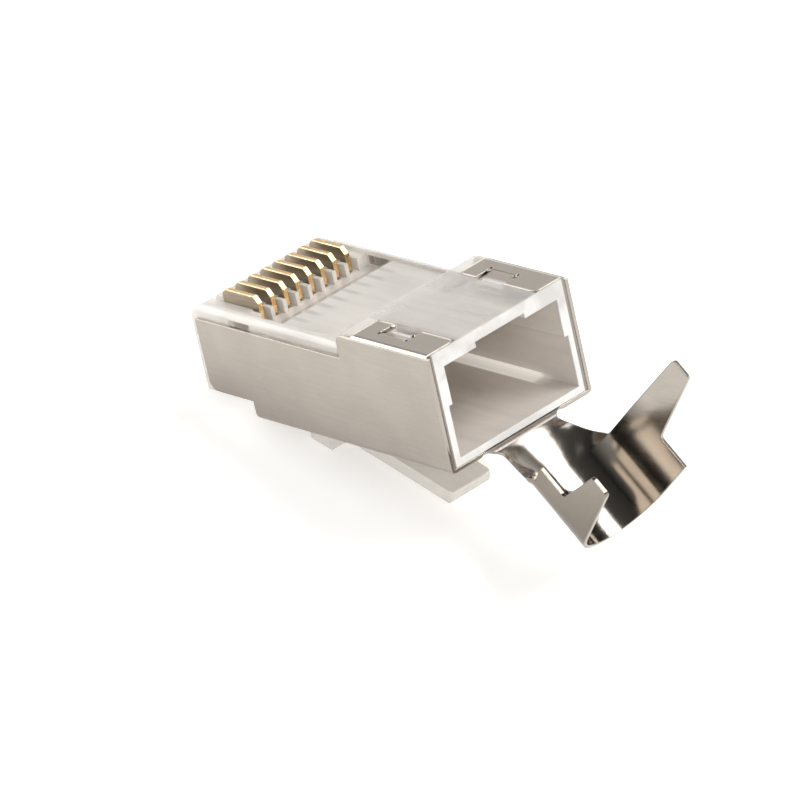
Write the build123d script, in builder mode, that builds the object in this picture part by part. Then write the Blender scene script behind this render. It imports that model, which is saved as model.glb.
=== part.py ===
"""Shielded 8P8C modular plug for thick cable: a clear body with its latch, one folded shield, eight contacts.

Every piece is drawn level, in the plug's own frame: X runs back from the nose, Y across it, Z up from the
shield's underside. At the end all of them are laid down together, because a loose plug rests on its latch,
nose down. Lengths are in millimetres, angles in degrees.
"""
import os
from math import cos, degrees, radians, sin, tan

from build123d import *

os.makedirs("parts", exist_ok=True)

# Body
LENGTH = 22.0
SHIELD_WIDTH = 11.5
SHEET = 0.25
FIT = 0.04                # play between body and shield, each side
NOSE_BOTTOM = 0.96        # underside of the nose, beside the latch
FLOOR_FRONT = 4.95        # the underside steps down here, behind the front edge of the shield's floor
RAIL_TOP = 6.55
RAIL_INNER = 4.70         # inner face of each side rail, from the middle
DECK_TOP = 6.32           # comb and deck between the rails
RAISED_FRONT = 14.15      # front of the raised rear part
RAISED_TOP = 7.62
NOSE_ROUND = 0.8
NOSE_CORNER = 0.2
RIM_ROUND = 0.22
RAIL_CHAMFER = 0.28
RAIL_CHAMFER_FRONT = 8.8
SIDE_POCKET_X = (3.45, 5.4)
SIDE_POCKET_Z = (5.4, 6.2)
SIDE_POCKET_DEPTH = 0.55

# Comb for the contacts, and the trough behind it
CONTACTS = 8
PITCH = 1.02
BLADE = 0.35
SLOT_PLAY = 0.03          # each side of a blade, and in front of it
SLOT_FLOOR = 2.95
SLOT_REAR_PLAY = 0.06
SLOT_FLARE = 0.165        # the slots widen behind the blades
SLOT_FLARE_FRONT = 4.1
COMB_REAR = 5.0
NOTCH_FLOOR = 4.35        # the slots are open at the nose down to here
TROUGH_FLOOR = 5.5
TROUGH_FLAT = 0.67
TROUGH_SLOPE = 24.5

# Cable cavity: wide below, narrower above, with a grooved ceiling
CAVITY_FRONT = 10.4
CAVITY_FLOOR = 0.74
CAVITY_STEP = 4.12
CAVITY_LOW_HALF = 4.88
CAVITY_HIGH_HALF = 4.60
FRONT_CEILING = 5.60      # under the deck
CEILING_FRONT = 14.75     # the high ceiling starts here
CEILING = 6.58
GROOVE_HALF = 2.0
GROOVE_TOP = 6.92

# Wire holes, in two staggered rows
WIRE_DIAMETER = 1.0
WIRE_ROWS = (3.62, 2.62)
WIRE_FRONT = 1.25

# Contacts
CONTACT_FRONT = 1.33
CONTACT_REAR = 4.63
CONTACT_TOP = 7.18
CONTACT_ROUND = 0.55
CONTACT_BEVEL = 0.45      # height of the rear bevel
CONTACT_BEVEL_RUN = 0.36
CONTACT_SHOULDER_ROUND = 0.3
CONTACT_HEEL_ROUND = 0.12
CONTACT_EDGE = 0.05
LEG_BOTTOM = 5.62
LEG_STEP = 0.28
BLADE_BOTTOM = 5.25
TEETH = 3
TOOTH_WIDTH = 0.56
TOOTH_SHOULDER = 4.60
TOOTH_TIP = 4.25

# Latch
LATCH_ANGLE = 16.5        # the latch hangs this far below the body, so the plug lies at this angle
LATCH_LENGTH = 15.8       # to the lower rear corner
LATCH_DROP = 5.3
LATCH_THICKNESS = 0.90
LATCH_LEAN = 0.26         # the end face leans back by this much
LATCH_END_ROUND = 0.4
LATCH_EDGE_ROUND = 0.12
LATCH_WIDTH = 3.25
ROOT_WIDTH = 3.9
ROOT_ROUND_OUTER = 0.95
ROOT_ROUND_INNER = 0.4
ROOT_X = 0.98
ROOT_Z = 1.02
BEAD_RADIUS = 0.42        # a round bead and seat stand for the thin moulded hinge
BEAD_PLAY = 0.03
SHOULDER_WIDTH = 6.05
SHOULDER_FRONT = 4.7
SHOULDER_LEAD = 1.1
SHOULDER_REAR = 7.5
SHOULDER_FILLET = 0.35

# Shield
SHIELD_FRONT = 0.8
SHIELD_TOP = 5.97         # top edges beside the comb
SIDE_BOTTOM = 1.2         # lower edges in front of the floor
FLOOR_EDGE = 4.65         # front edge of the floor
FLOOR_BEND = 0.3         # outer radius where floor and sides meet
SHIELD_STEP = 13.97       # the sides step up here
FREE_TOP = 7.48           # their top in front of and behind the tabs
STEP_ROUND = 0.5
FRONT_ROUND = 0.6
FLOOR_ROUND = 0.45
CORNER_ROUND = 0.15
TAB_FRONT = 15.2
TAB_REAR = 21.82
TAB_INNER = 3.30
TAB_BEND = 0.42           # outer radius
TAB_CORNER = 0.45
TAB_PLAY = 0.03
TONGUE_FRONT = 16.75
TONGUE_REAR = 18.90
TONGUE_ROOT = 4.55
TONGUE_SLIT = 0.14
TONGUE_HOOK = 0.15
TONGUE_ANGLE = 20

# Clamp for the cable: a half pipe on a neck, with two staggered ears
CLAMP_ANGLE = 44.3
NECK_HALF = 2.45
NECK_BEND = 0.55          # inner radius
NECK_RELIEF = 0.6
NECK_RELIEF_AT = 0.5      # along the clamp
NECK_SHAPE = (            # along the clamp, then radius and reach to the left, and to the right
    (0.6, (11.5, 2.33), (11.5, 2.45)), (1.3, (5.2, 2.6), (5.2, 2.75)), (2.0, (4.4, 2.75), (4.7, 3.15)),
    (2.7, (3.72, 3.7), (4.1, 3.65)), (3.3, (3.5, 4.6), (3.5, 4.15)))
CLAMP_RADIUS = 3.5        # outside
CLAMP_FRONT = 3.3         # along the clamp, from the bend line
CLAMP_END = 8.1
CLAMP_LEAN = 12.5         # outward lean of the walls
EAR_ROUND = 0.25
EAR_ROOT_ROUND = 0.3
RIGHT_WALL = (3.3, 7.06)  # where the wall starts along the clamp, and its reach round the section
RIGHT_EAR_BASE = (3.3, 5.8)
RIGHT_EAR_TIP = (3.38, 4.8)
RIGHT_EAR_REACH = 11.65
LEFT_WALL = (3.5, 6.4)
LEFT_EAR_BASE = (5.65, 8.1)
LEFT_EAR_TIP = (6.75, 8.1)
LEFT_EAR_REACH = 11.4

# Values that follow
HALF = SHIELD_WIDTH / 2
BODY_HALF = HALF - SHEET - FIT
BODY_FLOOR = SHEET + FIT
TAB_SEAT = RAISED_TOP - SHEET - TAB_PLAY
TONGUE_DROP = (TONGUE_ROOT - TAB_INNER) * sin(radians(TONGUE_ANGLE))
SLOT_HALF = BLADE / 2 + SLOT_PLAY
RAMP_END = COMB_REAR + TROUGH_FLAT + (DECK_TOP - TROUGH_FLOOR) / tan(radians(TROUGH_SLOPE))
CONTACT_Y = [(i - (CONTACTS - 1) / 2) * PITCH for i in range(CONTACTS)]
CUT = 2.0                 # how far a cut runs past a face


def block(x, y, z, mode=Mode.SUBTRACT):
    """Cut or add a box that spans the given range on each axis."""
    with Locations((sum(x) / 2, sum(y) / 2, sum(z) / 2)):
        Box(x[1] - x[0], y[1] - y[0], z[1] - z[0], mode=mode)


def outward(side, inner, outer):
    """The range of Y between two distances from the middle, on one side."""
    return tuple(sorted((side * inner, side * outer)))


# Housing: one side outline, then the cuts
with BuildPart() as housing:
    with BuildSketch(Plane.XZ):
        with BuildLine():
            Polyline((0, NOSE_BOTTOM), (0, RAIL_TOP), (RAISED_FRONT, RAIL_TOP), (RAISED_FRONT, RAISED_TOP),
                     (LENGTH, RAISED_TOP), (LENGTH, BODY_FLOOR), (FLOOR_FRONT, BODY_FLOOR),
                     (FLOOR_FRONT, NOSE_BOTTOM), close=True)
        make_face()
    extrude(amount=BODY_HALF, both=True)
    fillet(housing.edges().filter_by(Axis.Z).group_by(Axis.X)[0], NOSE_CORNER)
    nose_edges = housing.edges().filter_by(Axis.Y).group_by(Axis.X)[0]
    fillet(nose_edges.sort_by(Axis.Z)[-1], NOSE_ROUND)
    raised_edges = housing.edges().filter_by(Axis.Y).filter_by_position(
        Axis.X, RAISED_FRONT - 0.01, RAISED_FRONT + 0.01)
    fillet(raised_edges.sort_by(Axis.Z)[-1], RIM_ROUND)
    fillet(housing.edges().filter_by(Axis.X).group_by(Axis.Z)[0], FLOOR_BEND - SHEET - FIT)

    # Outer edges of the rails
    for side in (-1, 1):
        edge = side * BODY_HALF
        with BuildSketch(Plane.YZ.offset(RAIL_CHAMFER_FRONT)):
            with BuildLine():
                Polyline((edge, RAIL_TOP - RAIL_CHAMFER), (edge - side * RAIL_CHAMFER, RAIL_TOP),
                         (edge - side * RAIL_CHAMFER, RAIL_TOP + CUT), (edge + side * CUT, RAIL_TOP + CUT),
                         (edge + side * CUT, RAIL_TOP - RAIL_CHAMFER), close=True)
            make_face()
        extrude(amount=RAISED_FRONT - RAIL_CHAMFER_FRONT, mode=Mode.SUBTRACT)
        block(SIDE_POCKET_X, outward(side, BODY_HALF - SIDE_POCKET_DEPTH, BODY_HALF + CUT), SIDE_POCKET_Z)

    # Deck and comb lie between the rails, and the trough dips behind the comb
    with BuildSketch(Plane.XZ):
        with BuildLine():
            Polyline((-CUT, DECK_TOP), (COMB_REAR, DECK_TOP), (COMB_REAR, TROUGH_FLOOR),
                     (COMB_REAR + TROUGH_FLAT, TROUGH_FLOOR), (RAMP_END, DECK_TOP), (RAISED_FRONT, DECK_TOP),
                     (RAISED_FRONT, RAIL_TOP + RIM_ROUND), (-CUT, RAIL_TOP + RIM_ROUND), close=True)
        make_face()
    extrude(amount=RAIL_INNER, both=True, mode=Mode.SUBTRACT)

    # Cable cavity, as one tunnel section behind the high ceiling's front and a lower one before it
    with BuildSketch(Plane.YZ.offset(CEILING_FRONT)):
        with BuildLine():
            Polyline((-CAVITY_LOW_HALF, CAVITY_FLOOR), (CAVITY_LOW_HALF, CAVITY_FLOOR),
                     (CAVITY_LOW_HALF, CAVITY_STEP), (CAVITY_HIGH_HALF, CAVITY_STEP), (CAVITY_HIGH_HALF, CEILING),
                     (GROOVE_HALF, CEILING), (GROOVE_HALF, GROOVE_TOP), (-GROOVE_HALF, GROOVE_TOP),
                     (-GROOVE_HALF, CEILING), (-CAVITY_HIGH_HALF, CEILING), (-CAVITY_HIGH_HALF, CAVITY_STEP),
                     (-CAVITY_LOW_HALF, CAVITY_STEP), close=True)
        make_face()
    extrude(amount=LENGTH - CEILING_FRONT + CUT, mode=Mode.SUBTRACT)
    with BuildSketch(Plane.YZ.offset(CAVITY_FRONT)):
        with BuildLine():
            Polyline((-CAVITY_LOW_HALF, CAVITY_FLOOR), (CAVITY_LOW_HALF, CAVITY_FLOOR),
                     (CAVITY_LOW_HALF, CAVITY_STEP), (CAVITY_HIGH_HALF, CAVITY_STEP),
                     (CAVITY_HIGH_HALF, FRONT_CEILING), (-CAVITY_HIGH_HALF, FRONT_CEILING),
                     (-CAVITY_HIGH_HALF, CAVITY_STEP), (-CAVITY_LOW_HALF, CAVITY_STEP), close=True)
        make_face()
    extrude(amount=CEILING_FRONT - CAVITY_FRONT + CUT, mode=Mode.SUBTRACT)

    # A wire hole and a slot for each contact
    for i, y in enumerate(CONTACT_Y):
        with BuildSketch(Plane.YZ.offset(WIRE_FRONT)):
            with Locations((y, WIRE_ROWS[i % 2])):
                Circle(WIRE_DIAMETER / 2)
        extrude(amount=CAVITY_FRONT - WIRE_FRONT + CUT, mode=Mode.SUBTRACT)
        across = (y - SLOT_HALF, y + SLOT_HALF)
        block((CONTACT_FRONT - SLOT_PLAY, CONTACT_REAR + SLOT_REAR_PLAY), across, (SLOT_FLOOR, RAIL_TOP))
        flared = (across[0] - SLOT_FLARE, across[1] + SLOT_FLARE)
        block((SLOT_FLARE_FRONT, COMB_REAR + CUT / 4), flared, (TROUGH_FLOOR, RAIL_TOP))
        block((-CUT, CONTACT_FRONT), across, (NOTCH_FLOOR, RAIL_TOP))

    # Seats for the shield's tabs, and a pocket under each tongue
    for side in (-1, 1):
        fold = BODY_HALF - (TAB_BEND - SHEET)
        with BuildSketch(Plane.YZ.offset(TAB_FRONT - FIT)):
            with BuildLine():
                Polyline((side * (TAB_INNER - FIT), RAISED_TOP + CUT), (side * (TAB_INNER - FIT), TAB_SEAT),
                         (side * fold, TAB_SEAT), (side * BODY_HALF, TAB_SEAT - (TAB_BEND - SHEET)),
                         (side * (BODY_HALF + CUT), TAB_SEAT - (TAB_BEND - SHEET)),
                         (side * (BODY_HALF + CUT), RAISED_TOP + CUT), close=True)
            make_face()
        extrude(amount=TAB_REAR - TAB_FRONT + 2 * FIT, mode=Mode.SUBTRACT)
        block((TONGUE_FRONT - FIT, TONGUE_REAR + FIT), outward(side, TAB_INNER - 3 * FIT, TONGUE_ROOT + SHEET),
              (TAB_SEAT - TONGUE_DROP - FIT, RAISED_TOP))

    # Seat of the latch's root
    with BuildSketch(Plane.XZ):
        with Locations((ROOT_X, ROOT_Z)):
            Circle(BEAD_RADIUS + BEAD_PLAY)
    extrude(amount=ROOT_WIDTH / 2 + FIT, both=True, mode=Mode.SUBTRACT)

housing.part.label = "housing"


# Latch: a side outline, cut to its plan
def latch_underside(x):
    return (LATCH_LENGTH - x) * tan(radians(LATCH_ANGLE)) - LATCH_DROP


with BuildPart() as latch:
    rise = LATCH_THICKNESS / cos(radians(LATCH_ANGLE))
    end_x = LATCH_LENGTH + LATCH_THICKNESS * sin(radians(LATCH_ANGLE)) + LATCH_LEAN
    front_x, inner_x = ROOT_X - BEAD_RADIUS, ROOT_X + BEAD_RADIUS
    with BuildSketch(Plane.XZ) as side_view:
        with BuildLine():
            Polyline((front_x, ROOT_Z), (front_x, latch_underside(front_x)), (LATCH_LENGTH, -LATCH_DROP),
                     (end_x, latch_underside(end_x) + rise), (inner_x, latch_underside(inner_x) + rise),
                     (inner_x, ROOT_Z), close=True)
        make_face()
        root_corners = side_view.vertices().sort_by(Axis.X)[:4].sort_by(Axis.Y)[:2].sort_by(Axis.X)
        fillet(side_view.vertices().sort_by(Axis.X)[-2:], LATCH_EDGE_ROUND)
        fillet(root_corners[0], ROOT_ROUND_OUTER)
        fillet(side_view.vertices().sort_by_distance(root_corners[1])[0], ROOT_ROUND_INNER)
        with Locations((ROOT_X, ROOT_Z)):
            Circle(BEAD_RADIUS)
    extrude(amount=SHOULDER_WIDTH / 2, both=True)
    with BuildSketch(Plane.XY.offset(-LATCH_DROP - CUT)) as plan:
        with Locations((end_x / 2, 0)):
            Rectangle(end_x, LATCH_WIDTH)
        with Locations(((SHOULDER_FRONT + SHOULDER_LEAD) / 2, 0)):
            Rectangle(SHOULDER_FRONT + SHOULDER_LEAD, ROOT_WIDTH)
        with BuildLine():
            Polyline((SHOULDER_FRONT, -ROOT_WIDTH / 2), (SHOULDER_FRONT + SHOULDER_LEAD, -SHOULDER_WIDTH / 2),
                     (SHOULDER_REAR, -SHOULDER_WIDTH / 2), (SHOULDER_REAR, SHOULDER_WIDTH / 2),
                     (SHOULDER_FRONT + SHOULDER_LEAD, SHOULDER_WIDTH / 2), (SHOULDER_FRONT, ROOT_WIDTH / 2), close=True)
        make_face()
        stops = plan.vertices().filter_by_position(Axis.X, SHOULDER_REAR - 0.01, SHOULDER_REAR + 0.01)
        fillet(stops.filter_by_position(Axis.Y, -LATCH_WIDTH / 2 - 0.01, LATCH_WIDTH / 2 + 0.01), SHOULDER_FILLET)
        fillet(plan.vertices().group_by(Axis.X)[-1], LATCH_END_ROUND)
    extrude(amount=LATCH_DROP + ROOT_Z + BEAD_RADIUS + 2 * CUT, mode=Mode.INTERSECT)

latch.part.label = "latch"

# Contact blade, with insulation-piercing teeth
with BuildPart() as blade:
    tooth_gap = (CONTACT_REAR - LEG_STEP - CONTACT_FRONT - TEETH * TOOTH_WIDTH) / (TEETH + 1)
    with BuildSketch(Plane.XZ) as blade_face:
        with BuildLine():
            Polyline((CONTACT_FRONT, BLADE_BOTTOM), (CONTACT_FRONT, CONTACT_TOP),
                     (CONTACT_REAR - CONTACT_BEVEL_RUN, CONTACT_TOP), (CONTACT_REAR, CONTACT_TOP - CONTACT_BEVEL),
                     (CONTACT_REAR, LEG_BOTTOM), (CONTACT_REAR - LEG_STEP, LEG_BOTTOM),
                     (CONTACT_REAR - LEG_STEP, BLADE_BOTTOM), close=True)
        make_face()
        for k in range(TEETH):
            x = CONTACT_FRONT + tooth_gap + k * (TOOTH_WIDTH + tooth_gap)
            with BuildLine():
                Polyline((x, BLADE_BOTTOM), (x + 0.15 * TOOTH_WIDTH, TOOTH_SHOULDER), (x + TOOTH_WIDTH / 2, TOOTH_TIP),
                         (x + 0.85 * TOOTH_WIDTH, TOOTH_SHOULDER), (x + TOOTH_WIDTH, BLADE_BOTTOM), close=True)
            make_face()
        top = blade_face.vertices().filter_by_position(Axis.Y, CONTACT_TOP - CONTACT_BEVEL - 0.01, CONTACT_TOP + 0.01)
        fillet(top.sort_by(Axis.X)[0], CONTACT_ROUND)
        fillet(top.sort_by(Axis.X)[-1], CONTACT_HEEL_ROUND)
        fillet(top.sort_by(Axis.X)[1], CONTACT_SHOULDER_ROUND)
    extrude(amount=BLADE / 2, both=True)
    upper = blade.faces().group_by(Axis.Z)[-1].edges().filter_by(Axis.X)
    chamfer(upper, CONTACT_EDGE)

# Shield: floor and sides, folded tabs, then the neck and the clamp
CLAMP_TURN = radians(CLAMP_ANGLE)
CLAMP_AXIS = Vector(cos(CLAMP_TURN), 0, -sin(CLAMP_TURN))
CLAMP_UP = Vector(sin(CLAMP_TURN), 0, cos(CLAMP_TURN))
ACROSS = Vector(0, 1, 0)
BEND_LINE = Vector(LENGTH, 0, 0)
BEND_START = LENGTH - NECK_BEND * tan(CLAMP_TURN / 2)
PIPE_TURN = 90 - CLAMP_LEAN
PIPE_ARC = CLAMP_RADIUS * radians(PIPE_TURN)


def clamp_section(u):
    """The plane square to the clamp at u along it: local X is across the plug, local Y is up from the floor."""
    return Plane(origin=BEND_LINE + CLAMP_AXIS * u, x_dir=ACROSS, z_dir=CLAMP_AXIS)


with BuildPart() as shield:
    with BuildSketch(Plane.YZ.offset(SHIELD_FRONT)) as channel:
        with Locations((0, FREE_TOP / 2)):
            Rectangle(SHIELD_WIDTH, FREE_TOP)
        fillet(channel.vertices().group_by(Axis.Y)[0], FLOOR_BEND)
        with BuildSketch(mode=Mode.SUBTRACT) as hollow:
            with Locations((0, SHEET + FREE_TOP / 2)):
                Rectangle(SHIELD_WIDTH - 2 * SHEET, FREE_TOP)
            fillet(hollow.vertices().group_by(Axis.Y)[0], FLOOR_BEND - SHEET)
    extrude(amount=LENGTH - SHIELD_FRONT)
    with BuildSketch(Plane.XZ) as outline:
        with BuildLine():
            Polyline((SHIELD_FRONT, SIDE_BOTTOM), (FLOOR_EDGE, SIDE_BOTTOM), (FLOOR_EDGE, 0), (LENGTH, 0),
                     (LENGTH, FREE_TOP), (SHIELD_STEP, FREE_TOP), (SHIELD_STEP, SHIELD_TOP),
                     (SHIELD_FRONT, SHIELD_TOP), close=True)
        make_face()
        corners = outline.vertices()
        fillet(corners.filter_by_position(Axis.X, SHIELD_STEP - 0.01, SHIELD_STEP + 0.01).sort_by(Axis.Y)[-1], STEP_ROUND)
        fillet(outline.vertices().group_by(Axis.X)[0].sort_by(Axis.Y)[0], FRONT_ROUND)
        floor_corners = outline.vertices().filter_by_position(Axis.X, FLOOR_EDGE - 0.01, FLOOR_EDGE + 0.01)
        fillet(floor_corners.sort_by(Axis.Y)[0], FLOOR_ROUND)
        fillet(outline.vertices().group_by(Axis.X)[0].sort_by(Axis.Y)[-1], CORNER_ROUND)
    extrude(amount=HALF, both=True, mode=Mode.INTERSECT)

    # Tabs folded in over the body, each with a tongue pressed down between two slits
    for side in (-1, 1):
        with BuildSketch(Plane.YZ.offset(TAB_FRONT)) as fold:
            with BuildLine():
                Polyline((side * HALF, SHIELD_TOP), (side * HALF, RAISED_TOP), (side * TAB_INNER, RAISED_TOP),
                         (side * TAB_INNER, RAISED_TOP - SHEET), (side * (HALF - SHEET), RAISED_TOP - SHEET),
                         (side * (HALF - SHEET), SHIELD_TOP), close=True)
            make_face()
            at_fold = fold.vertices().group_by(Axis.Y)
            fillet(at_fold[-1].sort_by(lambda v: abs(v.X))[-1], TAB_BEND)
            inside = fold.vertices().filter_by_position(Axis.Y, RAISED_TOP - SHEET - 0.01, RAISED_TOP - SHEET + 0.01)
            fillet(inside.sort_by(lambda v: abs(v.X))[-1], TAB_BEND - SHEET)
        extrude(amount=TAB_REAR - TAB_FRONT)
        tab_edges = shield.edges().filter_by(Axis.Z).filter_by_position(
            Axis.Y, side * TAB_INNER - 0.01, side * TAB_INNER + 0.01)
        fillet(tab_edges, TAB_CORNER)

        slits = (TONGUE_FRONT - TONGUE_SLIT, TONGUE_REAR + TONGUE_SLIT)
        block(slits, outward(side, TAB_INNER - CUT, TONGUE_ROOT), (RAISED_TOP - SHEET - CUT / 4, RAISED_TOP + CUT))
        with BuildSketch(Plane.XY.offset(RAISED_TOP)):
            with Locations((slits[0] + TONGUE_HOOK / 2, side * TONGUE_ROOT), (slits[1] - TONGUE_HOOK / 2, side * TONGUE_ROOT)):
                Circle(TONGUE_HOOK)
        extrude(amount=-SHEET, mode=Mode.SUBTRACT)
        down, along = sin(radians(TONGUE_ANGLE)), cos(radians(TONGUE_ANGLE))
        reach = TONGUE_ROOT - TAB_INNER
        with BuildSketch(Plane.YZ.offset(TONGUE_FRONT)):
            with BuildLine():
                Polyline((side * (TONGUE_ROOT + SHEET), RAISED_TOP), (side * TONGUE_ROOT, RAISED_TOP),
                         (side * (TONGUE_ROOT - reach * along), RAISED_TOP - reach * down),
                         (side * (TONGUE_ROOT - reach * along + SHEET * down), RAISED_TOP - reach * down - SHEET * along),
                         (side * (TONGUE_ROOT + SHEET * down), RAISED_TOP - SHEET * along),
                         (side * (TONGUE_ROOT + SHEET), RAISED_TOP - SHEET * along), close=True)
            make_face()
        extrude(amount=TONGUE_REAR - TONGUE_FRONT)

    # Neck: the floor's middle strip bends down between two relief notches
    bend_half = NECK_HALF + NECK_RELIEF
    block((BEND_START, LENGTH + CUT), (-bend_half, bend_half), (-CUT, SHEET + CUT))
    with BuildSketch(Plane.XZ):
        with BuildLine():
            over = CenterArc((BEND_START, -NECK_BEND), NECK_BEND + SHEET, 90, -CLAMP_ANGLE)
            under = CenterArc((BEND_START, -NECK_BEND), NECK_BEND, 90, -CLAMP_ANGLE)
            Line(over @ 0, under @ 0)
            Line(over @ 1, under @ 1)
        make_face()
    extrude(amount=bend_half, both=True)

    # It curls up into the pipe, each half with its own radii
    neck_start = NECK_BEND * tan(CLAMP_TURN / 2)
    for half, side in enumerate((-1, 1)):
        with BuildSketch(clamp_section(neck_start)):
            with BuildLine():
                Polyline((0, 0), (side * NECK_HALF, 0), (side * NECK_HALF, SHEET), (0, SHEET), close=True)
            make_face()
        for along, *curls in NECK_SHAPE:
            radius, reach = curls[half]
            with BuildSketch(clamp_section(along)):
                with BuildLine():
                    outer = CenterArc((0, radius), radius, -90, side * degrees(reach / radius))
                    inner = CenterArc((0, radius), radius - SHEET, -90, side * degrees(reach / radius))
                    Line(outer @ 0, inner @ 0)
                    Line(outer @ 1, inner @ 1)
                make_face()
        loft()
    with BuildSketch(Plane(origin=BEND_LINE + CLAMP_AXIS * NECK_RELIEF_AT, x_dir=ACROSS, z_dir=CLAMP_UP)):
        with Locations((-bend_half, 0), (bend_half, 0)):
            Circle(NECK_RELIEF)
    extrude(amount=SHEET + CUT / 8, both=True, mode=Mode.SUBTRACT)

    # The pipe and its walls, with the ears staggered so that they wrap round a cable
    with BuildSketch(clamp_section(CLAMP_FRONT)):
        with BuildLine():
            outer = CenterArc((0, CLAMP_RADIUS), CLAMP_RADIUS, -90 - PIPE_TURN, 2 * PIPE_TURN)
            inner = CenterArc((0, CLAMP_RADIUS), CLAMP_RADIUS - SHEET, -90 - PIPE_TURN, 2 * PIPE_TURN)
            Line(outer @ 0, inner @ 0)
            Line(outer @ 1, inner @ 1)
        make_face()
    extrude(amount=CLAMP_END - CLAMP_FRONT)
    turn = radians(PIPE_TURN)
    for side, (wall_start, wall_reach), base, tip, ear_reach in (
            (1, RIGHT_WALL, RIGHT_EAR_BASE, RIGHT_EAR_TIP, RIGHT_EAR_REACH),
            (-1, LEFT_WALL, LEFT_EAR_BASE, LEFT_EAR_TIP, LEFT_EAR_REACH)):
        foot = BEND_LINE + ACROSS * side * CLAMP_RADIUS * sin(turn) + CLAMP_UP * CLAMP_RADIUS * (1 - cos(turn))
        inward = CLAMP_UP * cos(turn) - ACROSS * side * sin(turn)
        wall_top, ear_top = side * (wall_reach - PIPE_ARC), side * (ear_reach - PIPE_ARC)
        with BuildSketch(Plane(origin=foot, x_dir=CLAMP_AXIS, z_dir=inward)) as wall:
            with Locations(((wall_start + CLAMP_END) / 2, wall_top / 2)):
                Rectangle(CLAMP_END - wall_start, abs(wall_top))
            with BuildLine():
                Polyline((base[0], 0), (base[0], wall_top), (tip[0], ear_top), (tip[1], ear_top), (base[1], wall_top),
                         (base[1], 0), close=True)
            make_face()
            by_reach = wall.vertices().sort_by(lambda v: abs(v.Y))
            fillet(by_reach[-2:], EAR_ROUND)
            roots = wall.vertices().filter_by_position(Axis.Y, wall_top - 0.01, wall_top + 0.01)
            free_root = base[1] if base[1] < CLAMP_END else base[0]
            fillet(roots.filter_by_position(Axis.X, free_root - 0.01, free_root + 0.01), EAR_ROOT_ROUND)
        extrude(amount=SHEET)

shield.part.label = "shield"

# Lay the plug down on its latch, with its middle over the origin, and write each piece
contacts = []
for i, y in enumerate(CONTACT_Y):
    with BuildPart() as contact:
        with Locations((0, y, 0)):
            add(blade.part)
    contact.part.label = f"contact_{i + 1}"
    contacts.append(contact)

pieces = [housing, latch, shield, *contacts]
lean = Rot(0, -LATCH_ANGLE, 0)
span = Compound(children=[lean * piece.part for piece in pieces]).bounding_box()
place = Pos(-span.center().X, -span.center().Y, -span.min.Z) * lean
for piece in pieces:
    name = piece.part.label
    laid = place * piece.part
    laid.label = name
    export_step(laid, f"parts/{name}.step")

origin = place.position
print("plug frame's origin in the laid frame:", round(origin.X, 4), round(origin.Y, 4), round(origin.Z, 4))
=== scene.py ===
"""Looks for the shielded eight-way modular plug: clear body, folded nickel shell and gold blades.

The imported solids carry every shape. This script gives them their finishes, and sets the pale
table, the softboxes and the camera of the photograph around them. Lengths are in metres, and
patterns are worked out in the plug's own millimetres: x back from the nose, y across, z up.
"""

import math

import bpy
import numpy as np
from mathutils import Matrix


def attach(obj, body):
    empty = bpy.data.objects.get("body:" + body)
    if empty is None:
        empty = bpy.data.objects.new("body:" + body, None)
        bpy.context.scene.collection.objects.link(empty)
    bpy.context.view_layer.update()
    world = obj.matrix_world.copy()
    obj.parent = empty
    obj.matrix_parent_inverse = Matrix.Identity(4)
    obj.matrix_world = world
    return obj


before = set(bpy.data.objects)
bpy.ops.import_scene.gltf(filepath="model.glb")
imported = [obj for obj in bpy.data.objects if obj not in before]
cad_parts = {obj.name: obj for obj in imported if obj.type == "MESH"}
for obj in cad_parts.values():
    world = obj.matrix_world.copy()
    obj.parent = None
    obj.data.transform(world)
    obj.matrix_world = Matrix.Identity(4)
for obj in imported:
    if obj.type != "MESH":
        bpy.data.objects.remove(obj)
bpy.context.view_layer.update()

# The plug lies on its latch lever, so its own axes are turned about Y and moved.
LEAN = math.radians(16.5)
PLUG_ORIGIN = (-15.4219, 0.0, 0.5943)

# Colours, linear
NICKEL = (0.465, 0.422, 0.375)
NICKEL_SHADE = (0.43, 0.388, 0.343)
# painted shade: the clamp's left side, darker where it reflects the shadowed table
NICKEL_CLAMP_SHADE = (0.315, 0.27, 0.225)
# painted shade: the inner face of the clamp's right wall, below the wall's top
NICKEL_INNER_SHADE = (0.255, 0.235, 0.205)
# painted shade: the shell's upward faces just behind the plastic's rear rim
NICKEL_LIP_SHADE = (0.26, 0.235, 0.21)
# painted light: the tabs' upward faces, lighter than the rest of the shell
NICKEL_TAB_LIT = (0.51, 0.46, 0.41)
TONGUE_PALE = (0.86, 0.84, 0.80)
TONGUE_ROOT = (0.43, 0.385, 0.34)
# painted highlight: a cream line round the tabs' edges, lit as if rounded
TAB_EDGE_HIGHLIGHT = (0.88, 0.81, 0.71)
GOLD = (0.90, 0.62, 0.32)
GOLD_DEEP = (0.82, 0.53, 0.25)
# painted shade: darker gold on the bevels that face back and up, toning down the highlight they
# catch
GOLD_BEVEL_SHADE = (0.42, 0.31, 0.16)
BLADE_FLANK = (0.52, 0.45, 0.35)
CLEAR = (1.0, 0.955, 0.89)
CLEAR_CLOUD = (0.985, 0.935, 0.87)
# painted shade: grey patches on the rear rim's top, standing in for reflections in the clear rim
RIM_PAINTED_SHADE = (0.64, 0.625, 0.605)
GAP_SHADE = (0.26, 0.23, 0.20)
# painted shade: dashes where the comb's slots show through, and the deck before the raised block
CLEAR_PAINTED_SHADE = (0.72, 0.69, 0.66)
# painted shade: grey on the middle of the raised block, for the darker view through it
CLEAR_SLAB_SHADE = (0.74, 0.71, 0.68)
# the rear rim's own tone, also painted as a highlight line along the raised block's front edge
CLEAR_RIM_AND_HIGHLIGHT = (0.88, 0.865, 0.84)
CLEAR_RIM_DULL = (0.82, 0.805, 0.78)
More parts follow.
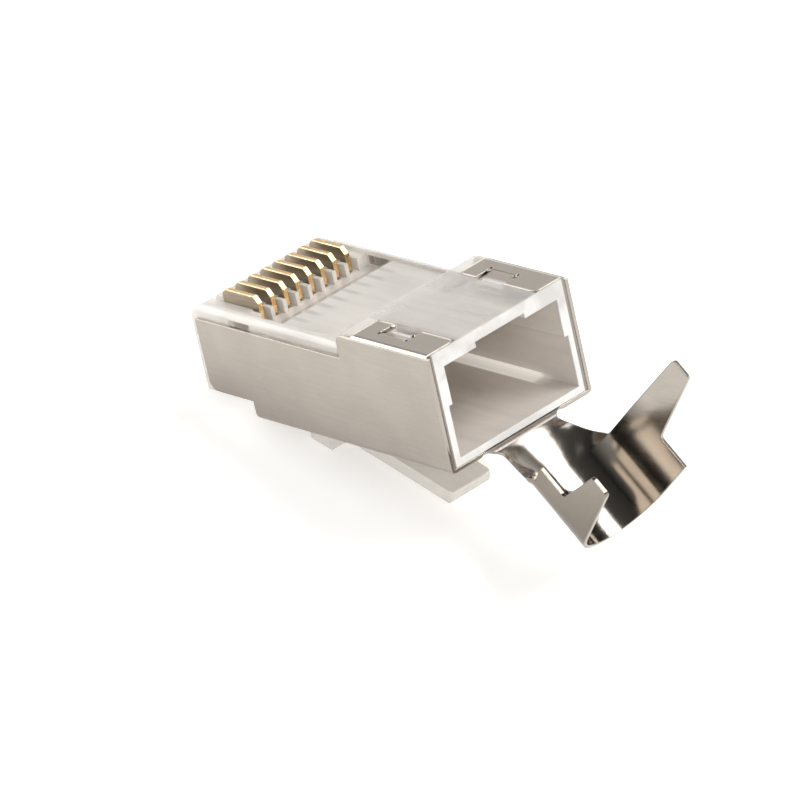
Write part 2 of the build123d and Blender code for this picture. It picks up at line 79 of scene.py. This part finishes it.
# painted shade: the cavity's walls darker and browner inside, paler towards its rear mouth
CAVITY_SHADE = (0.75, 0.68, 0.61)
CAVITY_MOUTH_SHADE = (0.85, 0.79, 0.73)
BAND_GLOW = (1.0, 0.96, 0.91)
TABLE = (0.93, 0.925, 0.915)
WALL_TOP = (0.03, 0.03, 0.03)
DAYLIGHT = (1.0, 0.985, 0.96)
BLACK = (0.0, 0.0, 0.0)

# Places in the plastic, in the plug's millimetres. A pair is a soft edge: where it begins and
# where it ends.
CAVITY_FRONT = 10.3
CAVITY_HALF = 4.95
CAVITY_FLOOR = 0.70
CAVITY_TOP = 5.66
CAVITY_STEP = 14.6           # behind it the ceiling is higher
CAVITY_RISE = 1.3
CAVITY_PALER = (13.0, 21.5)
# painted light: the strip on the cavity's floor glows, standing in for light refracted through the
# walls
BAND_SIDE = (3.9, 4.1)       # the bright strip on the cavity's floor
BAND_TOP = 1.0
BAND_END = (18.6, 20.0)
# painted highlight: the cavity's shade is halved along this step, leaving a lighter line
LEDGE_HALF = 4.5             # the step in the cavity's walls
LEDGE_UP = ((3.95, 4.05), (4.1, 4.25))
REAR_RIM = (21.75, 21.95)
RIM_SHADE_UP = (5.5, 6.2)
GAP_SIDE = (5.3, 5.36)
GAP_RIGHT = (5.22, 5.28)
SLAB_UP = (6.95, 7.0)        # the raised block between the two tabs
SLAB_SIDE = (3.3, 3.4)
SLAB_RIDGE = (14.4, 14.5)
STEP_SHADE = (13.3, 14.0)    # the deck just before the raised block
STEP_FACE = 14.2
DECK_LOW = 5.0
SLOT_PITCH = 1.02
DASH_PHASE = ((0.25, 0.4), (0.6, 0.75))
DASH_ALONG = ((6.4, 6.9), (8.4, 9.4))
DASH_SIDE = (3.4, 4.2)
POCKET_ALONG = ((5.1, 5.3), (6.9, 7.2))
POCKET_UP = ((5.6, 5.7), (6.22, 6.3))
POCKET_SIDE = (4.2, 4.4)

# Places on the shell, written in the same way; the tongues' two pairs are sharp edges
FOLD_UP = (6.7, 6.95)
FOLD_SIDE = (5.2, 5.5)
LIP_FRONT = 22.0
LIP_END = (22.3, 23.0)
NECK_ALONG = ((21.6, 22.3), (23.4, 24.2))
CLAMP_ALONG = (23.8, 25.0)
CLAMP_LEFT = (1.6, 2.6)
CLAMP_RIGHT = (1.2, 2.2)
CLAMP_UP = (0.698, 0.716)    # the clamp's own upward direction
CLAMP_WALL_TOP = (20.0, 21.6)
TAB_LOW = 7.3
TAB_ALONG = ((15.28, 15.36), (21.66, 21.74))
TAB_SIDE = (3.38, 3.46)
TONGUE_ALONG = (16.75, 18.9)
TONGUE_HALF = (3.2, 4.5)
TONGUE_LOW = 7.0
TONGUE_TIP = (3.7, 4.0)
CURLS = ((16.72, 4.34), (18.93, 4.38), (16.75, -3.52), (18.95, -3.94))
CURL_SIZE = (0.17, 0.15, 0.11)
CURL_HEIGHT = 7.6
CURL_ROWS = 12
CURL_SIDES = 20

# The stage, in metres
TABLE_RADIUS = 0.5
RIM_REACH = 0.38
RIM_HEIGHT = 0.36
WALL_FOOT = 0.4
WALL_HEIGHT = 0.95


class Sock:
    """A node socket that Python's operators extend with Math nodes."""

    def __init__(self, sheet, socket):
        self.sheet = sheet
        self.socket = socket

    def math(self, operation, *others):
        values = {0: self}
        for place, other in enumerate(others, start=1):
            values[place] = other
        return self.sheet.node("ShaderNodeMath", {"operation": operation}, values)[0]

    def __add__(self, other):
        return self.math("ADD", other)

    __radd__ = __add__

    def __mul__(self, other):
        return self.math("MULTIPLY", other)

    def __sub__(self, other):
        return self.math("SUBTRACT", other)

    def __rsub__(self, other):
        return self.sheet.node("ShaderNodeMath", {"operation": "SUBTRACT"}, {0: other, 1: self})[0]

    def __truediv__(self, other):
        return self.math("DIVIDE", other)

    def __pow__(self, other):
        return self.math("POWER", other)

    def above(self, edge):
        return self.math("GREATER_THAN", edge)

    def below(self, edge):
        return 1.0 - self.above(edge)

    def least(self, bound):
        return self.math("MAXIMUM", bound)

    def absolute(self):
        return self.math("ABSOLUTE")

    def ramp(self, low, high, start=0.0, end=1.0):
        """Goes smoothly from start to end as the value goes from low to high."""
        settings = {"interpolation_type": "SMOOTHSTEP"}
        values = {"Value": self, "From Min": low, "From Max": high, "To Min": start, "To Max": end}
        return self.sheet.node("ShaderNodeMapRange", settings, values)[0]

    def before(self, edge):
        """1 before a soft edge and 0 behind it."""
        return 1.0 - self.ramp(*edge)

    def span(self, edges):
        """1 between two soft edges and 0 outside them."""
        return self.ramp(*edges[0]) * self.before(edges[1])


class Sheet:
    """One material's nodes."""

    def __init__(self, name):
        self.material = bpy.data.materials.new(name)
        self.material.use_nodes = True
        self.tree = self.material.node_tree
        self.tree.nodes.clear()
        self.output = self.tree.nodes.new("ShaderNodeOutputMaterial")

    def put(self, socket, value):
        if isinstance(value, Sock):
            self.tree.links.new(value.socket, socket)
        elif socket.type == "RGBA":
            socket.default_value = (*value, 1.0)
        else:
            socket.default_value = value

    def node(self, kind, settings=None, values=None):
        made = self.tree.nodes.new(kind)
        for name, value in (settings or {}).items():
            setattr(made, name, value)
        for name, value in (values or {}).items():
            self.put(made.inputs[name], value)
        return [Sock(self, socket) for socket in made.outputs if socket.enabled]

    def output_of(self, kind, name):
        """One output, by its name, of a new node that has several."""
        return [made for made in self.node(kind) if made.socket.name == name][0]

    def place(self):
        """The point in the plug's own millimetres, as a vector socket."""
        along = PLUG_ORIGIN[0] * math.cos(LEAN) + PLUG_ORIGIN[2] * math.sin(LEAN)
        up = -PLUG_ORIGIN[0] * math.sin(LEAN) + PLUG_ORIGIN[2] * math.cos(LEAN)
        values = {
            "Vector": self.output_of("ShaderNodeTexCoord", "Object"),
            "Location": (-along, 0.0, -up),
            "Rotation": (0.0, LEAN, 0.0),
            "Scale": (1000.0, 1000.0, 1000.0),
        }
        return self.node("ShaderNodeMapping", {"vector_type": "POINT"}, values)[0]

    def stretch(self, point, scale):
        values = {0: point, 1: scale}
        return self.node("ShaderNodeVectorMath", {"operation": "MULTIPLY"}, values)[0]

    def parts(self, vector):
        return self.node("ShaderNodeSeparateXYZ", None, {0: vector})

    def noise(self, point, scale, detail, roughness, distortion=0.0):
        values = {
            "Vector": point,
            "Scale": scale,
            "Detail": detail,
            "Roughness": roughness,
            "Distortion": distortion,
        }
        return self.node("ShaderNodeTexNoise", {"noise_dimensions": "3D"}, values)[0]

    def blend(self, factor, first, second):
        values = {"Factor": factor, 6: first, 7: second}
        return self.node("ShaderNodeMix", {"data_type": "RGBA"}, values)[0]

    def layered(self, colour, layers):
        """The colour with each layer's own colour laid over it by its mask, in turn."""
        for mask, over in layers:
            colour = self.blend(mask, colour, over)
        return colour

    def bump(self, height, depth, strength, normal):
        values = {"Height": height, "Distance": depth, "Strength": strength, "Normal": normal}
        return self.node("ShaderNodeBump", None, values)[0]

    def rounded(self, radius):
        """The normal with the piece's edges softened over a small radius."""
        return self.node("ShaderNodeBevel", {"samples": 4}, {"Radius": radius})[0]

    def facing(self):
        """The three parts of the face's own direction, in the frame's axes."""
        return self.parts(self.output_of("ShaderNodeNewGeometry", "Normal"))

    def surface(self, **values):
        """The Principled shader, its sockets named with _ for each space."""
        inputs = {name.replace("_", " "): value for name, value in values.items()}
        made = self.node("ShaderNodeBsdfPrincipled", None, inputs)
        self.tree.links.new(made[0].socket, self.output.inputs["Surface"])
        return self.material


def dimmed(colour, part):
    return tuple(part * channel for channel in colour)


def plastic_places(sheet, along, across, up):
    """Masks over the plastic, each 1 in its place and 0 elsewhere."""
    half = across.absolute()
    ceiling = along.above(CAVITY_STEP) * CAVITY_RISE + CAVITY_TOP
    cavity = along.above(CAVITY_FRONT) * half.below(CAVITY_HALF) * up.above(CAVITY_FLOOR)
    cavity = cavity * (ceiling - up).above(0.0)
    rim = along.ramp(*REAR_RIM)
    band = cavity * half.ramp(*BAND_SIDE) * up.below(BAND_TOP) * along.before(BAND_END)
    ledge_highlight = half.above(LEDGE_HALF) * up.span(LEDGE_UP)
    slab = up.ramp(*SLAB_UP) * (1.0 - rim)
    step = along.ramp(*STEP_SHADE) * (1.0 - slab) * along.below(STEP_FACE)
    # painted shade: dashes where the comb's slots show darkly through the plastic
    dashes = (across / SLOT_PITCH).math("FRACT").span(DASH_PHASE) * along.span(DASH_ALONG)
    pocket = along.span(POCKET_ALONG) * up.span(POCKET_UP) * across.ramp(*POCKET_SIDE)
    return {
        "rim": rim,
        "band": band,
        # painted shade over the cavity's walls, halved along the ledge
        "inside": cavity * (1.0 - rim) * (1.0 - band) * (1.0 - ledge_highlight * 0.5),
        "slab": slab,
        # painted shade on the middle of the raised block
        "slab_shade": slab * half.before(SLAB_SIDE),
        # painted highlight along the raised block's front top edge
        "ridge_highlight": slab * along.before(SLAB_RIDGE),
        "step": step * up.above(DECK_LOW),
        "dashes": dashes * half.before(DASH_SIDE) * up.above(DECK_LOW),
        "pocket": pocket * (0.0 - sheet.facing()[1]).above(0.4),
        "gap": rim * half.ramp(*GAP_SIDE).least(across.ramp(*GAP_RIGHT)),
    }


def clear_polycarbonate():
    """Milky clear plastic, with painted shade and light in the cavity, raised block and rear rim.

    Its alpha is 0.70, plus 0.12 in the cavity, less 0.15 on the raised block, plus the noises'
    parts. It is never under 0.97 of the rim's mask or 0.95 of the bright strip's, nor over 0.97.
    """
    sheet = Sheet("clear_polycarbonate")
    point = sheet.place()
    along, across, up = sheet.parts(point)
    flow = sheet.noise(sheet.stretch(point, (0.22, 0.8, 0.8)), 0.8, 3.0, 0.5, 0.6)
    lines = sheet.noise(sheet.stretch(point, (0.04, 1.3, 1.3)), 1.2, 2.0, 0.5)
    patches = sheet.noise(point, 0.55, 2.0, 0.5).ramp(0.38, 0.58)
    at = plastic_places(sheet, along, across, up)
    milk = at["inside"] * 0.12 + 0.70 - at["slab"] * 0.15
    milk = milk + (lines - 0.5) * 0.18 + (flow - 0.5) * 0.3
    milk = milk.least(at["rim"] * 0.97).least(at["band"] * 0.95).math("MINIMUM", 0.97)
    # painted shade: grey patches over the rear rim's upper part
    rim_shade = at["rim"] * up.ramp(*RIM_SHADE_UP) * (0.35 + patches * 0.65)
    skin = sheet.blend(flow.ramp(0.35, 0.65), CLEAR, CLEAR_CLOUD)
    layers = (
        (at["dashes"] * 0.8, CLEAR_PAINTED_SHADE),
        (at["slab_shade"], CLEAR_SLAB_SHADE),
        (at["ridge_highlight"], CLEAR_RIM_AND_HIGHLIGHT),
        (at["step"] * 0.5, CLEAR_PAINTED_SHADE),
        (at["pocket"], GAP_SHADE),
        (at["rim"], sheet.blend(lines.ramp(0.3, 0.7), CLEAR_RIM_AND_HIGHLIGHT, CLEAR_RIM_DULL)),
        (rim_shade, RIM_PAINTED_SHADE),
        (at["gap"], GAP_SHADE),
        (at["inside"], sheet.blend(along.ramp(*CAVITY_PALER), CAVITY_SHADE, CAVITY_MOUTH_SHADE)),
    )
    return sheet.surface(
        Base_Color=sheet.layered(skin, layers),
        Roughness=flow.ramp(0.3, 0.7, 0.12, 0.26),
        Alpha=milk,
        Normal=sheet.bump(flow * 0.7 + lines * 0.3, 0.00002, 0.3, sheet.rounded(0.00006)),
        # painted light: the glowing strip on the cavity's floor
        Emission_Color=sheet.blend(at["band"], BLACK, BAND_GLOW),
        Emission_Strength=0.24,
        Transmission_Weight=0.22,
        Coat_Weight=0.5,
        Coat_Roughness=0.04,
        IOR=1.58,
    )


def shell_places(sheet, along, across, up):
    """Masks over the shell, each 1 in its place and 0 elsewhere."""
    half = across.absolute()
    facing = sheet.facing()
    on_clamp = along.ramp(*CLAMP_ALONG)
    height = along * CLAMP_UP[0] + up * CLAMP_UP[1]
    tab = up.above(TAB_LOW) * facing[2].above(0.8) * along.below(LIP_FRONT)
    tongue = along.above(TONGUE_ALONG[0]) * along.below(TONGUE_ALONG[1])
    tongue = tongue * half.above(TONGUE_HALF[0]) * half.below(TONGUE_HALF[1])
    tongue = tongue * up.above(TONGUE_LOW) * facing[2].above(0.5)
    middle = along.span(TAB_ALONG) * half.ramp(*TAB_SIDE)
    inward = across.ramp(*CLAMP_RIGHT) * (0.0 - facing[1]).above(0.1)
    return {
        "fold": up.ramp(*FOLD_UP) * half.ramp(*FOLD_SIDE),
        "neck": along.span(NECK_ALONG),
        # painted shade on the clamp's left side
        "left": on_clamp * (0.0 - across).ramp(*CLAMP_LEFT),
        # painted shade on the inner face of the clamp's right wall
        "right": on_clamp * inward * height.before(CLAMP_WALL_TOP),
        # painted shade on the shell just behind the plastic's rear rim
        "lip": along.above(LIP_FRONT) * along.before(LIP_END) * facing[2].above(0.5),
        # painted light on the tabs' upward faces
        "tab": tab,
        "tongue": tongue,
        "tip": half.ramp(*TONGUE_TIP),
        # painted highlight along the tabs' edges, away from their middles and tongues
        "edge": tab * (1.0 - middle) * (1.0 - tongue),
    }


def bright_nickel():
    """Nickel over steel sheet: rolled streaks along the plug, soft stains and a fine satin."""
    sheet = Sheet("bright_nickel")
    point = sheet.place()
    streaks = sheet.noise(sheet.stretch(point, (0.18, 1.6, 3.4)), 3.0, 4.0, 0.6)
    stain = sheet.noise(point, 0.33, 3.0, 0.5, 0.4)
    dust = sheet.noise(point, 14.0, 2.0, 0.5)
    shade = streaks * 0.45 + stain * 0.55
    at = shell_places(sheet, *sheet.parts(point))
    satin = shade.ramp(0.3, 0.7, 0.07, 0.16) + dust * 0.04
    layers = (
        (at["right"], NICKEL_INNER_SHADE),
        (at["lip"], NICKEL_LIP_SHADE),
        (at["tab"], NICKEL_TAB_LIT),
        (at["tongue"], sheet.blend(at["tip"], TONGUE_PALE, TONGUE_ROOT)),
        (at["edge"], TAB_EDGE_HIGHLIGHT),
        (at["left"], NICKEL_CLAMP_SHADE),
    )
    return sheet.surface(
        Base_Color=sheet.layered(sheet.blend(shade.ramp(0.38, 0.62), NICKEL, NICKEL_SHADE), layers),
        Metallic=1.0 - at["tongue"] * 0.85 - at["edge"] * 0.8,
        Roughness=satin + at["fold"] * 0.05 + at["neck"] * 0.05 + at["lip"] * 0.15,
        Normal=sheet.bump(streaks * 0.7 + dust * 0.3, 0.000004, 0.35, sheet.rounded(0.0001)),
    )


def plated_gold():
    """Gold flash on the blades' edges; their stamped flanks are browner and duller."""
    sheet = Sheet("plated_gold")
    point = sheet.place()
    facing = sheet.facing()
    side = facing[1].absolute().ramp(0.55, 0.85)
    # painted shade on the bevels facing back and up, against the key softbox's highlight
    bevel_shade = facing[0].ramp(0.3, 0.5) * facing[2].ramp(0.3, 0.5)
    wear = sheet.noise(sheet.stretch(point, (0.6, 2.0, 1.0)), 2.4, 3.0, 0.55)
    lines = sheet.noise(sheet.stretch(point, (0.4, 1.0, 5.0)), 3.0, 3.0, 0.5)
    gold = sheet.blend(wear.ramp(0.35, 0.7), GOLD, GOLD_DEEP)
    flank = sheet.blend(lines.ramp(0.3, 0.7), BLADE_FLANK, dimmed(BLADE_FLANK, 0.8))
    return sheet.surface(
        Base_Color=sheet.layered(gold, ((bevel_shade, GOLD_BEVEL_SHADE), (side, flank))),
        Metallic=1.0,
        Roughness=side * 0.1 + wear.ramp(0.3, 0.7, 0.2, 0.3),
        Normal=sheet.bump(lines, 0.000004, 0.4, sheet.rounded(0.00004)),
    )


def table_finish():
    """Matt white board with a barely seen mottle, whose brightness fades up the wall.

    The fade is one minus the height over the wall's height, to the power 1.6. The camera sees the
    board's whole glow, and the plug and its reflections get 0.3 of it.
    """
    sheet = Sheet("table_board")
    place = sheet.output_of("ShaderNodeTexCoord", "Object")
    mottle = sheet.noise(place, 6.0, 3.0, 0.5)
    fade = (1.0 - sheet.parts(place)[2] / WALL_HEIGHT).least(0.0) ** 1.6
    board = sheet.blend(mottle, TABLE, dimmed(TABLE, 0.985))
    seen = sheet.node("ShaderNodeLightPath")[0]
    glow = sheet.blend(seen, dimmed(TABLE, 0.3), TABLE)
    return sheet.surface(
        Base_Color=sheet.blend(fade, WALL_TOP, board),
        Roughness=0.9,
        Emission_Color=sheet.blend(fade, BLACK, glow),
        Emission_Strength=0.375,
    )


def smooth_object(name, points, faces, finish):
    """Puts a smooth mesh in the scene, with its points, faces and finish."""
    mesh = bpy.data.meshes.new(name)
    mesh.from_pydata(points.reshape(-1, 3).tolist(), [], faces)
    mesh.polygons.foreach_set("use_smooth", np.ones(len(mesh.polygons), bool))
    mesh.materials.append(finish)
    made = bpy.data.objects.new(name, mesh)
    bpy.context.scene.collection.objects.link(made)
    return made


def ring_faces(rows, columns):
    """The quads between rows of points, the last point of each row joined to its first."""
    index = np.arange(rows * columns).reshape(rows, columns)
    index = np.hstack([index, index[:, :1]])
    corners = [index[:-1, :-1], index[:-1, 1:], index[1:, 1:], index[1:, :-1]]
    return np.stack(corners, -1).reshape(-1, 4).tolist()


def table_sweep():
    """A round white table whose rim climbs through a quarter turn into an upright wall.

    Over the quarter turn the radius grows by the reach times the turn's sine, and the height by
    the rim's height times one minus its cosine.
    """
    turn = np.linspace(0.0, 2.0 * math.pi, 96, endpoint=False)
    flat = np.linspace(0.0, TABLE_RADIUS, 12)
    climb = np.linspace(0.05, 1.0, 20) * math.pi / 2
    wall = np.linspace(WALL_FOOT, WALL_HEIGHT, 12)
    outer = np.full(len(wall), TABLE_RADIUS + RIM_REACH)
    radius = np.concatenate([flat, TABLE_RADIUS + RIM_REACH * np.sin(climb), outer])
    height = np.concatenate([np.zeros(len(flat)), RIM_HEIGHT * (1.0 - np.cos(climb)), wall])
    x = radius[:, None] * np.cos(turn)
    y = radius[:, None] * np.sin(turn)
    z = np.broadcast_to(height[:, None], x.shape)
    points = np.stack([x, y, z], -1)
    smooth_object("table", points, ring_faces(*x.shape), table_finish())


def stand(name, data, right, up, back, place):
    """Puts a lamp or a camera at a place, turned to the three axes given."""
    turned = np.eye(4)
    turned[:3] = np.transpose([right, up, back, place])
    made = bpy.data.objects.new(name, data)
    made.matrix_world = Matrix(turned.tolist())
    bpy.context.scene.collection.objects.link(made)
    return made


def softbox(name, azimuth, elevation, distance, width, height, power, mirrored=True):
    """A rectangular area light aimed at the plug. Azimuth 0 is the -Y side and 90 the +X side."""
    a, e = math.radians(azimuth), math.radians(elevation)
    towards = np.array([math.sin(a) * math.cos(e), -math.cos(a) * math.cos(e), math.sin(e)])
    light = bpy.data.lights.new(name, "AREA")
    light.shape = "RECTANGLE"
    light.size, light.size_y = width, height
    light.energy = power
    side = np.cross([0.0, 0.0, 1.0], towards)
    side /= np.linalg.norm(side)
    lamp = stand(name, light, side, np.cross(towards, side), towards, towards * distance)
    lamp.visible_camera = False
    lamp.visible_glossy = mirrored


def world_glow(colour, strength):
    world = bpy.data.worlds.new("studio")
    world.use_nodes = True
    backdrop = world.node_tree.nodes["Background"]
    backdrop.inputs["Color"].default_value = (*colour, 1.0)
    backdrop.inputs["Strength"].default_value = strength
    bpy.context.scene.world = world


def photograph_camera():
    """The photograph's viewpoint, solved from it: its axes, its place in metres and its lens.

    The lens is the sensor's width times the focal length in pixels over the picture's width.
    """
    right = (0.69686, 0.71717, -0.00601)
    down = (0.43010, -0.42459, -0.79670)
    forward = (-0.57393, 0.55261, -0.60434)
    place = (0.217497, -0.213890, 0.238160)
    camera = bpy.data.cameras.new("camera")
    camera.sensor_width = 36.0
    camera.lens = 36.0 * 6506.36 / 800.0
    camera.clip_start, camera.clip_end = 0.01, 10.0
    rig = stand("camera", camera, right, np.negative(down), np.negative(forward), place)
    bpy.context.scene.camera = rig


def flat_bead():
    """The points and faces of one bead: rows of points between two poles."""
    rise = np.linspace(-0.5, 0.5, CURL_ROWS + 1)[1:-1, None] * math.pi
    turn = np.linspace(0.0, 2.0 * math.pi, CURL_SIDES, endpoint=False)
    grid = [np.cos(rise) * np.cos(turn), np.cos(rise) * np.sin(turn), np.sin(rise) + 0.0 * turn]
    poles = [(0.0, 0.0, -1.0), (0.0, 0.0, 1.0)]
    points = np.vstack([np.stack(grid, -1).reshape(-1, 3), poles]) * CURL_SIZE
    faces = ring_faces(CURL_ROWS - 1, CURL_SIDES)
    low, high = len(points) - 2, len(points) - 1
    last_row = low - CURL_SIDES
    for this in range(CURL_SIDES):
        after = (this + 1) % CURL_SIDES
        faces += [[low, after, this], [last_row + this, last_row + after, high]]
    return points, faces


def tongue_curls(finish):
    """The small burrs at the ends of the tongues' cuts, as flat beads sunk into the tabs."""
    bead, bead_faces = flat_bead()
    points, faces = [], []
    for number, (along, across) in enumerate(CURLS):
        points.append(bead + (along, across, CURL_HEIGHT))
        faces += [[corner + number * len(bead) for corner in face] for face in bead_faces]
    lean = np.array(Matrix.Rotation(-LEAN, 3, "Y"))
    placed = (np.concatenate(points) @ lean.T + PLUG_ORIGIN) / 1000.0
    made = smooth_object("tongue_curls", placed, faces, finish)
    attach(made, "body")


def finish_nodes():
    """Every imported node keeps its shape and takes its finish, and the shell gets its curls."""
    finishes = {
        "housing": clear_polycarbonate(),
        "shield": bright_nickel(),
        "contact": plated_gold(),
    }
    finishes["latch"] = finishes["housing"]
    tongue_curls(finishes["shield"])
    for name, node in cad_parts.items():
        node.data.materials[0] = finishes[name.split("_")[0]]


photograph_camera()
table_sweep()
world_glow(DAYLIGHT, 0.08)
softbox("key", 147.0, 57.0, 0.95, 0.62, 0.56, 7.6)
softbox("window", -78.0, 22.0, 0.8, 0.50, 0.27, 1.7)
softbox("overhead", -50.0, 74.0, 1.0, 0.36, 0.26, 0.5)
softbox("fill", 52.0, 34.0, 0.6, 0.4, 0.4, 2.2, mirrored=False)
finish_nodes()
bpy.context.scene.view_settings.view_transform = "Standard"
